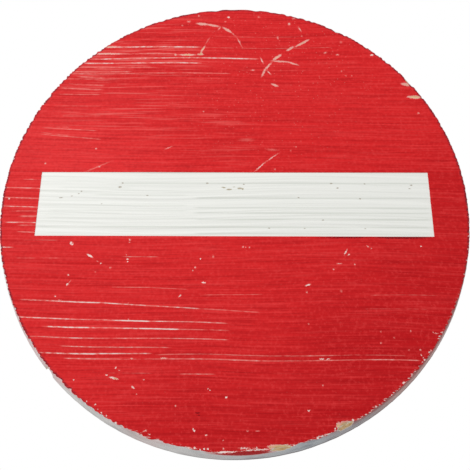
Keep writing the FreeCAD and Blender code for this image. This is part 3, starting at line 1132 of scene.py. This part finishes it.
bare_wood, given, wanted = new_group(
    "bare_wood", (("Grain", "Vector", NOWHERE),), (("Color", "Color"),))
rings = rise(bare_wood, streak(bare_wood, given["Grain"], 20, 1.1), 0.4, 0.65)
bare_wood.links.new(mixed(bare_wood, rings, WOOD_PALE, WOOD_DARK), wanted["Color"])

# %% [markdown]
# ## What all finishes share
# Each finish starts from the Principled shader and reads two places: the note of the grain
# and the plain place on the object. At the end it hands over its colour, and a height that
# becomes a bump. Roughness and gloss that don't change are set on the shader itself.

# %% The start and the end of a finish
def new_material(name, roughness, specular):
    """A material with the Principled shader. Returns the tree, the shader and the material."""
    material = bpy.data.materials.new(name)
    material.use_nodes = True
    tree = material.node_tree
    shader = tree.nodes["Principled BSDF"]
    shader.inputs["Roughness"].default_value = roughness
    shader.inputs["Specular IOR Level"].default_value = specular
    print("material", material.name)
    return tree, shader, material


def note(tree, name, result="Fac"):
    """One of the notes that the points of a mesh carry."""
    return add(tree, "Attribute", attribute_name=name).outputs[result]


def both_places(tree):
    """The note of the grain, and the plain place on the object."""
    return note(tree, "grain", "Vector"), add(tree, "TexCoord").outputs["Object"]


def hand_over(tree, shader, colour, height, depth):
    """Give the shader its colour, and a bump whose full height is a depth in mm."""
    bump = add(tree, "Bump", {"Height": height, "Distance": depth * MM})
    tree.links.new(colour, shader.inputs["Base Color"])
    tree.links.new(bump.outputs["Normal"], shader.inputs["Normal"])


# %% Part of a colour, and how near a place is
def partly(tree, share, limit, one, two):
    """Mix in a second colour where the share says so, but never more than the limit."""
    return mixed(tree, times(tree, share, limit), one, two)


def nearness(tree, place, middle, far, close):
    """0 further than far from a point and 1 nearer than close, both in mm."""
    away = vectors(tree, "DISTANCE", place, middle, "Value")
    return rise(tree, away, far * MM, close * MM)


# %% [markdown]
# ## The red print
# The ink is a satin red. It is brightest on the left and deep at the lower right. That is partly
# the ink, faded on the left, and partly painted light and shade, brighter towards the lamp at the
# upper left and darker away from it. A slow noise drifts both limits, so neither is a clean circle
# or line.

# %% The red, from faded and painted light to deep and painted shade
INK_FADED_AND_LIT = (0.74, 0.024, 0.026)
INK_FULL = (0.675, 0.017, 0.019)
INK_DEEP = (0.45, 0.004, 0.007)
FADED_AND_LIT_MIDDLE = (-120 * MM, 0.0, 45 * MM)
TO_LOWER_RIGHT = (0.6, 0.0, -0.8)


def faded_and_shaded(tree, place):
    """The red of the ink at a place, partly faded ink and partly painted light and shade, without
    any streaks or marks.
    """
    drift = times(tree, minus(tree, cloudy(tree, place, 9.0), 0.5), 0.12)
    from_left = plus(tree, drift, vectors(tree, "DISTANCE", place, FADED_AND_LIT_MIDDLE, "Value"))
    down_right = plus(tree, drift, vectors(tree, "DOT_PRODUCT", place, TO_LOWER_RIGHT, "Value"))
    # Lighter towards the upper left and deeper towards the lower right: partly the ink, partly
    # painted light and shade.
    colour = mixed(tree, rise(tree, from_left, 0.1, 0.0), INK_FULL, INK_FADED_AND_LIT)
    return mixed(tree, rise(tree, down_right, 0.02, 0.24), colour, INK_DEEP)


print("red from", INK_FADED_AND_LIT, "to", INK_DEEP)

# %% [markdown]
# ## Streaks, mottle and dust in the red
# The red has fine light and dark streaks along the grain, with broader ones under them, and a
# mottle that breaks them up. At the upper left, and just above the bar, the sign was brushed by
# something for years: there the ridges are pink. Pale dust lies mostly at the upper right.

# %% Streaks, mottle and dust
INK_LIGHT = (0.80, 0.060, 0.060)
INK_DARK = (0.31, 0.003, 0.006)
THIN_RED = (0.84, 0.24, 0.21)
RUBBED_MIDDLE = (-95 * MM, PRINT_FRONT, 130 * MM)
RUBBED_ABOVE_BAR = (-15 * MM, PRINT_FRONT, 62 * MM)
DUSTY_MIDDLE = (40 * MM, PRINT_FRONT, 130 * MM)
STREAK_LAYERS = (
    # pattern, value where it starts, value where it is full, share, ink
    ("hair", 0.5, 0.7, 0.32, INK_DARK), ("fine", 0.52, 0.72, 0.34, INK_DARK),
    ("fine", 0.48, 0.3, 0.34, INK_LIGHT), ("coarse", 0.5, 0.75, 0.12, INK_LIGHT),
    ("coarse", 0.5, 0.25, 0.15, INK_DARK), ("mottle", 0.5, 0.75, 0.28, INK_LIGHT),
    ("mottle", 0.5, 0.3, 0.16, INK_DARK),
)


def streaked(tree, grain, place, colour):
    """The streaks laid over the red. Returns the colour and the finest streak."""
    patterns = {"hair": streak(tree, grain, 30, 0.8), "fine": streak(tree, grain, 45, 1.3),
                "coarse": streak(tree, grain, 120, 3.0), "mottle": cloudy(tree, grain, 500.0)}
    for name, start, full, share, ink in STREAK_LAYERS:
        colour = partly(tree, rise(tree, patterns[name], start, full), share, colour, ink)
    above_bar = times(tree, nearness(tree, place, RUBBED_ABOVE_BAR, 45, 10), 0.5)
    rubbed_near = most(tree, nearness(tree, place, RUBBED_MIDDLE, 100, 20), above_bar)
    rubbed_pink = times(tree, rise(tree, patterns["fine"], 0.47, 0.35), rubbed_near)
    colour = partly(tree, rubbed_pink, 0.35, colour, THIN_RED)
    dust = add(tree, "TexVoronoi", {"Vector": place, "Scale": 260.0}).outputs["Distance"]
    dusty_near = plus(tree, nearness(tree, place, DUSTY_MIDDLE, 130, 30), 0.25)
    dusty = times(tree, rise(tree, dust, 0.16, 0.07), dusty_near)
    return partly(tree, dusty, 0.32, colour, THIN_RED), patterns["hair"]


print(len(STREAK_LAYERS), "layers of streaks")

# %% [markdown]
# ## What is worn and scraped off
# The marks are laid over the ink in the order of their depth: worn ridges, then scuffs, then
# gouges. Each has a border where the red is only thin, and inside it the white of the base coat,
# broken up by a short streaky noise. A gouge goes on down to the wood. The dents didn't break the
# ink and are only darker. A line just below the bar is darker in the same way, most of all towards
# the right.

# %% Worn ridges, scuffs, gouges and dents
PAINT_WHITE = (0.84, 0.80, 0.76)
SCUFF_PALE = (0.88, 0.66, 0.62)
GOUGE_BORDER = (0.84, 0.50, 0.44)
DARK_MARK_RED = (0.15, 0.004, 0.008)
BAND_OVERLAP = 5.0                     # marks this near to a band still count, in mm


def near(rows, low, high):
    """The rows of a list, each from x, z to x, z, that touch a band of heights."""
    return [row for row in rows if max(row[1], row[3]) > low - BAND_OVERLAP
            and min(row[1], row[3]) < high + BAND_OVERLAP]


def scraped(tree, grain, place, colour, low, high):
    """All marks of one band. Returns the colour and how much of the ink is lost."""
    ridges = [on_the_grain(ridge) for ridge in near(WORN_RIDGES, low, high)]
    worn_off = use(tree, wear, {"Grain": grain, "Worn": lined(tree, "worn_ridges", ridges, grain)})
    colour = partly(tree, worn_off["Thin"], 0.6, colour, THIN_RED)
    colour = partly(tree, worn_off["Bare"], 0.85, colour, PAINT_WHITE)

    ragged = use(tree, shaken, {"Place": place, "Shake": 2.2})[0]
    flecks = streak(tree, grain, 2.5, 0.9)
    scuff = marked(tree, "pale_scuffs", near(ALL_SCUFFS, low, high), ragged)
    scraped_off = times(tree, rise(tree, scuff, 0.08, 0.4), rise(tree, flecks, 0.22, 0.38))
    colour = partly(tree, rise(tree, scuff, -0.15, 0.15), 0.55, colour, THIN_RED)
    colour = mixed(tree, scraped_off, colour, SCUFF_PALE)

    gouge = marked(tree, "bare_gouges", near(GOUGES, low, high), ragged)
    fibres = times(tree, minus(tree, flecks, 0.5), 0.9)
    gouged = rise(tree, plus(tree, gouge, fibres), 0.1, 0.7)
    colour = partly(tree, rise(tree, gouge, -0.2, 0.1), 0.7, colour, GOUGE_BORDER)
    colour = mixed(tree, gouged, colour, use(tree, bare_wood, {"Grain": grain})[0])
    # The dents and the dark line below the bar only darken the red.
    dark_mark = rise(tree, marked(tree, "dents", near(DENTS_AND_DARK_LINE, low, high), ragged), 0.0, 0.4)
    colour = partly(tree, dark_mark, 0.8, colour, DARK_MARK_RED)
    lost = worn_off["Bare"]
    for bared in (scraped_off, gouged, dark_mark):
        lost = most(tree, lost, bared)
    return colour, lost


print(len(WORN_RIDGES), "ridges,", len(ALL_SCUFFS), "scuffs,", len(GOUGES), "gouges and",
      len(DENTS_AND_DARK_LINE), "dents to lay over the red")

# %% [markdown]
# ## The rim of the print
# Along the rim the red is darker, in clots of uneven length. This is partly painted shade, where
# the rounded corner of the print turns from the light, and partly ink darkened at the cut. That
# line runs along the top, the sides and the lower left. Where the sign is set down, at the bottom
# and the lower right, the corner is rubbed to the white in small flecks instead. Where the rim is
# broken, a thin ragged border of white lies between the red and the wood.

# %% Rim and broken rim
# Darker reds for the rim: partly painted shade of the rounded corner, partly ink darkened at the
# cut.
RIM_INK_AND_SHADE = (0.42, 0.025, 0.030)
CLOT_INK_AND_SHADE = (0.24, 0.012, 0.022)
TO_WHERE_IT_STANDS = (0.35, 0.0, -1.0)


def rimmed(tree, grain, place, colour, lost):
    """The rim laid over the red. Returns the colour and how much of the ink is lost."""
    rim, broken = note(tree, "rim"), note(tree, "broken")
    lowness = vectors(tree, "DOT_PRODUCT", place, TO_WHERE_IT_STANDS, "Value")
    # Painted shade in part: the red darkens along the rim and in clots, less where the sign
    # stands.
    dark_rim_and_shade = times(tree, rise(tree, rim, 0.42, 0.72), rise(tree, lowness, 0.14, 0.09))
    clots_and_shade = times(tree, dark_rim_and_shade, rise(tree, streak(tree, grain, 20, 2.4), 0.44, 0.52))
    colour = partly(tree, dark_rim_and_shade, 0.5, colour, RIM_INK_AND_SHADE)
    colour = partly(tree, clots_and_shade, 0.85, colour, CLOT_INK_AND_SHADE)
    splinters = streak(tree, grain, 4, 0.8)
    set_down = times(tree, rise(tree, rim, 0.3, 0.6), rise(tree, lowness, 0.12, 0.17))
    rubbed_off = rise(tree, plus(tree, splinters, times(tree, rim, 0.25)), 0.76, 0.86)
    colour = partly(tree, times(tree, set_down, rubbed_off), 0.85, colour, PAINT_WHITE)
    torn = plus(tree, broken, times(tree, minus(tree, splinters, 0.5), 0.5))
    fresh = rise(tree, torn, 0.4, 0.6)
    border = minus(tree, rise(tree, torn, 0.2, 0.3), lost, clamp=True)
    colour = mixed(tree, border, colour, PAINT_WHITE)
    colour = mixed(tree, fresh, colour, use(tree, bare_wood, {"Grain": grain})[0])
    return colour, most(tree, lost, fresh)


print("ink at the rim", RIM_INK_AND_SHADE, "with clots", CLOT_INK_AND_SHADE)

# %% [markdown]
# ## One finish in seven bands
# A shader with all the marks would ask at every point of the face about each of them, and
# most are far away. So the print is divided into bands of height, and each band has a copy
# of the finish that knows only the marks near it. All patterns depend on the place alone,
# so the bands meet without a seam. The bump lets the light catch the step down from the ink
# to whatever is bare.

# %% Red print
RED_BANDS = (-192, -166, -140, -104, -60, 40, 135, 192)      # limits of the bands, in mm
INK_ROUGHNESS = 0.55
BARE_ROUGHER = 0.25                    # what is bare is rougher than the ink by this much


def red_finish(low, high):
    """The finish of one band of the print."""
    name = "red_print_from_%d" % (low - RED_BANDS[0])
    tree, shader, material = new_material(name, INK_ROUGHNESS, 0.08)
    grain, place = both_places(tree)
    colour, hair = streaked(tree, grain, place, faded_and_shaded(tree, place))
    colour, lost = scraped(tree, grain, place, colour, low, high)
    colour, lost = rimmed(tree, grain, place, colour, lost)
    hand_over(tree, shader, colour, minus(tree, times(tree, hair, 0.6), lost), 0.12)
    roughness = plus(tree, times(tree, lost, BARE_ROUGHER), INK_ROUGHNESS)
    tree.links.new(roughness, shader.inputs["Roughness"])
    return material


for low, high in zip(RED_BANDS, RED_BANDS[1:]):
    red_print.data.materials.append(red_finish(low, high))
for face in red_print.data.polygons:
    face.material_index = sum(face.center.z > border * MM for border in RED_BANDS[1:-1])
print(len(red_print.data.materials), "bands")

# %% [markdown]
# ## The white paint of the face
# The bar is the base coat of the board. It is off-white. Grey-green lines run right across it
# along the grain. They are straighter than the relief, so the group of the worn lines is handed
# the plain place here, and not the grain note. A few dark specks sit in the paint, and above the
# middle a small knot shows through in brown.

# %% White face
BAR_LINES = (
    # height, 0 for level, from x, to x, how grey, spread
    (18, 0, -93, 161, 0.5, 1.0), (14, 0, -142, -85, 0.2, 1.0), (7.5, 0, -113, -39, 0.3, 1.0),
    (5, 0, -31, 160, 0.5, 1.0), (2.5, 0, -158, -109, 0.2, 1.0), (-1.5, 0, -157, -39, 0.3, 1.0),
    (-3.5, 0, -31, 159, 0.5, 1.0), (-6, 0, -149, -39, 0.3, 1.0), (-8, 0, -31, 158, 0.6, 1.0),
    (-8.5, 0, -152, -91, 0.2, 1.0), (-12.5, 0, -152, -30, 0.3, 1.0),
    (-13.5, 0, -30, 158, 0.6, 1.2), (-20, 0, -158, 157, 0.55, 1.1),
    (-25.5, 0, -30, 157, 0.4, 1.2),
)
FACE_WHITE = (0.82, 0.825, 0.785)
FACE_LINE = (0.53, 0.565, 0.50)
SPECK = (0.30, 0.24, 0.17)
KNOT_BROWN = (0.33, 0.26, 0.14)

paint, paint_shader, paint_material = new_material("white_face", 0.5, 0.3)
grain, place = both_places(paint)
fine = streak(paint, grain, 60, 1.0)
coarse = streak(paint, grain, 150, 3.0)
line = times(paint, lined(paint, "bar_lines", BAR_LINES, place), rise(paint, coarse, 0.25, 0.5))
colour = partly(paint, rise(paint, fine, 0.55, 0.75), 0.2, FACE_WHITE, FACE_LINE)
colour = partly(paint, rise(paint, coarse, 0.55, 0.75), 0.2, colour, FACE_LINE)
colour = mixed(paint, line, colour, FACE_LINE)

ragged = use(paint, shaken, {"Place": place, "Shake": 1.2})[0]
specks = rise(paint, marked(paint, "dark_specks", ALL_SPECKS, ragged), 0.0, 0.4)
knot = rise(paint, marked(paint, "knot_marks", KNOT, ragged), 0.0, 0.5)
colour = partly(paint, specks, 0.75, colour, SPECK)
colour = partly(paint, knot, 0.75, colour, KNOT_BROWN)
hand_over(paint, paint_shader, colour, minus(paint, fine, specks), 0.1)
white_board.data.materials.append(paint_material)

# %% [markdown]
# ## The sawn edge
# The edge has the same white, but thin and over saw marks. It is clean and a little pink at the
# lower left, where some red has run over the corner. Towards the lower right it turns grey, which
# is painted shade, and along the wall there it is darker still. At the right end it is brown and
# warm, under a run of dark red. One strip at the bottom is solid red. The splinters and the notch
# show tan wood. The strip is a mark like the others, but its place is given by x and the depth
# from the wall, so the group is handed those two. All limits on a place that a finish reads, here
# and in the red, are in metres, like the place itself.

# %% Sawn edge: grey painted shade, pink and brown
EDGE_CLEAN = (0.84, 0.81, 0.79)
EDGE_THIN = (0.58, 0.56, 0.55)
EDGE_PINK = (0.80, 0.54, 0.53)
SHADE_GREY_PALE = (0.50, 0.53, 0.56)
SHADE_GREY_DARK = (0.30, 0.32, 0.36)
EDGE_BROWN = (0.36, 0.21, 0.19)
EDGE_WARM = (0.80, 0.44, 0.39)
EDGE_RED = (0.36, 0.07, 0.065)
EDGE_DARK_AT_WALL = (0.17, 0.12, 0.12)

edge, edge_shader, edge_material = new_material("sawn_edge", 0.6, 0.25)
grain, place = both_places(edge)
parts = split(edge, place)
blotch = cloudy(edge, place, 60.0, 3.0)
tint = cloudy(edge, place, 24.0)
saw = streak(edge, grain, 30, 1.6)
# Painted shade: the edge turns grey towards the lower right, away from the lamp.
right_side_shade = rise(edge, plus(edge, parts["X"], times(edge, tint, 0.06)), -0.07, 0.1)
pale = mixed(edge, right_side_shade, EDGE_CLEAN, SHADE_GREY_PALE)
dark = mixed(edge, right_side_shade, EDGE_THIN, SHADE_GREY_DARK)
uneven = rise(edge, plus(edge, blotch, times(edge, saw, 0.5)), 0.6, 1.0)
colour = mixed(edge, uneven, pale, dark)
pink = times(edge, rise(edge, tint, 0.4, 0.6), minus(edge, 1.0, right_side_shade))
colour = partly(edge, pink, 0.7, colour, EDGE_PINK)
brown = rise(edge, plus(edge, parts["X"], times(edge, tint, 0.05)), 0.075, 0.135)
colour = partly(edge, brown, 0.55, colour, EDGE_BROWN)
colour = partly(edge, rise(edge, parts["X"], 0.098, 0.128), 0.5, colour, EDGE_WARM)
run_off = plus(edge, parts["Y"], times(edge, saw, 0.006))
red_run = times(edge, rise(edge, run_off, -0.008, -0.015), brown)
colour = partly(edge, red_run, 0.75, colour, EDGE_RED)
# Darker along the wall at the lower right.
dark_at_wall = times(edge, rise(edge, parts["Y"], -0.0042, -0.0018), right_side_shade)
colour = partly(edge, dark_at_wall, 0.8, colour, EDGE_DARK_AT_WALL)

# %% Sawn edge: the red strip and the broken wood
RED_STRIP = ((-16, -17.5, 31, -17.0, 7.0, 1.0),)

side = joined(edge, parts["X"], 0.0, parts["Y"])
side = use(edge, shaken, {"Place": side, "Shake": 2.5})[0]
low_down = rise(edge, parts["Z"], -0.1, -0.15)
run_over = marked(edge, "red_strip", RED_STRIP, side)
strip_border = times(edge, rise(edge, run_over, -0.3, 0.0), low_down)
strip = times(edge, rise(edge, run_over, 0.05, 0.25), low_down)
colour = partly(edge, strip_border, 0.5, colour, THIN_RED)
colour = mixed(edge, strip, colour, INK_DEEP)
broken = note(edge, "broken")
colour = mixed(edge, rise(edge, broken, 0.2, 0.3), colour, PAINT_WHITE)
wood_shown = use(edge, bare_wood, {"Grain": grain})[0]
colour = mixed(edge, rise(edge, broken, 0.4, 0.6), colour, wood_shown)
hand_over(edge, edge_shader, colour, plus(edge, saw, blotch), 0.2)
white_board.data.materials.append(edge_material)

# %% [markdown]
# ## The back
# The back was painted once with a wide brush, and the wood shows through in long streaks.
# It needs no marks of its own. One stretched noise gives the hairs of the brush, and a
# wider one the bands where the paint ran thin.

# %% Back
BACK_WHITE = (0.70, 0.68, 0.63)
BACK_THIN = (0.52, 0.44, 0.33)

back, back_shader, back_material = new_material("painted_back", 0.65, 0.25)
place = add(back, "TexCoord").outputs["Object"]
brush = streak(back, place, 90, 1.8, 3.0)
bands = streak(back, place, 200, 12)
thin = times(back, rise(back, brush, 0.5, 0.75), rise(back, bands, 0.35, 0.7))
hand_over(back, back_shader, partly(back, thin, 0.8, BACK_WHITE, BACK_THIN), brush, 0.2)
white_board.data.materials.append(back_material)

# %% [markdown]
# ## The floor
# The floor is plain and pale, so that it only catches a soft shadow. It belongs to the
# studio and not to the sign.

# %% The floor's colour
FLOOR_PALE = (0.84, 0.84, 0.83, 1.0)

ground_shader, ground_material = new_material("pale_floor", 0.8, 0.2)[1:]
ground_shader.inputs["Base Color"].default_value = FLOOR_PALE
floor.data.materials.append(ground_material)
print("materials", len(bpy.data.materials))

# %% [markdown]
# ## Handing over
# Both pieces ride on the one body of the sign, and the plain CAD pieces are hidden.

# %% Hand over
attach(red_print, "root")
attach(white_board, "root")
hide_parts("red_print")
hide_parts("board")
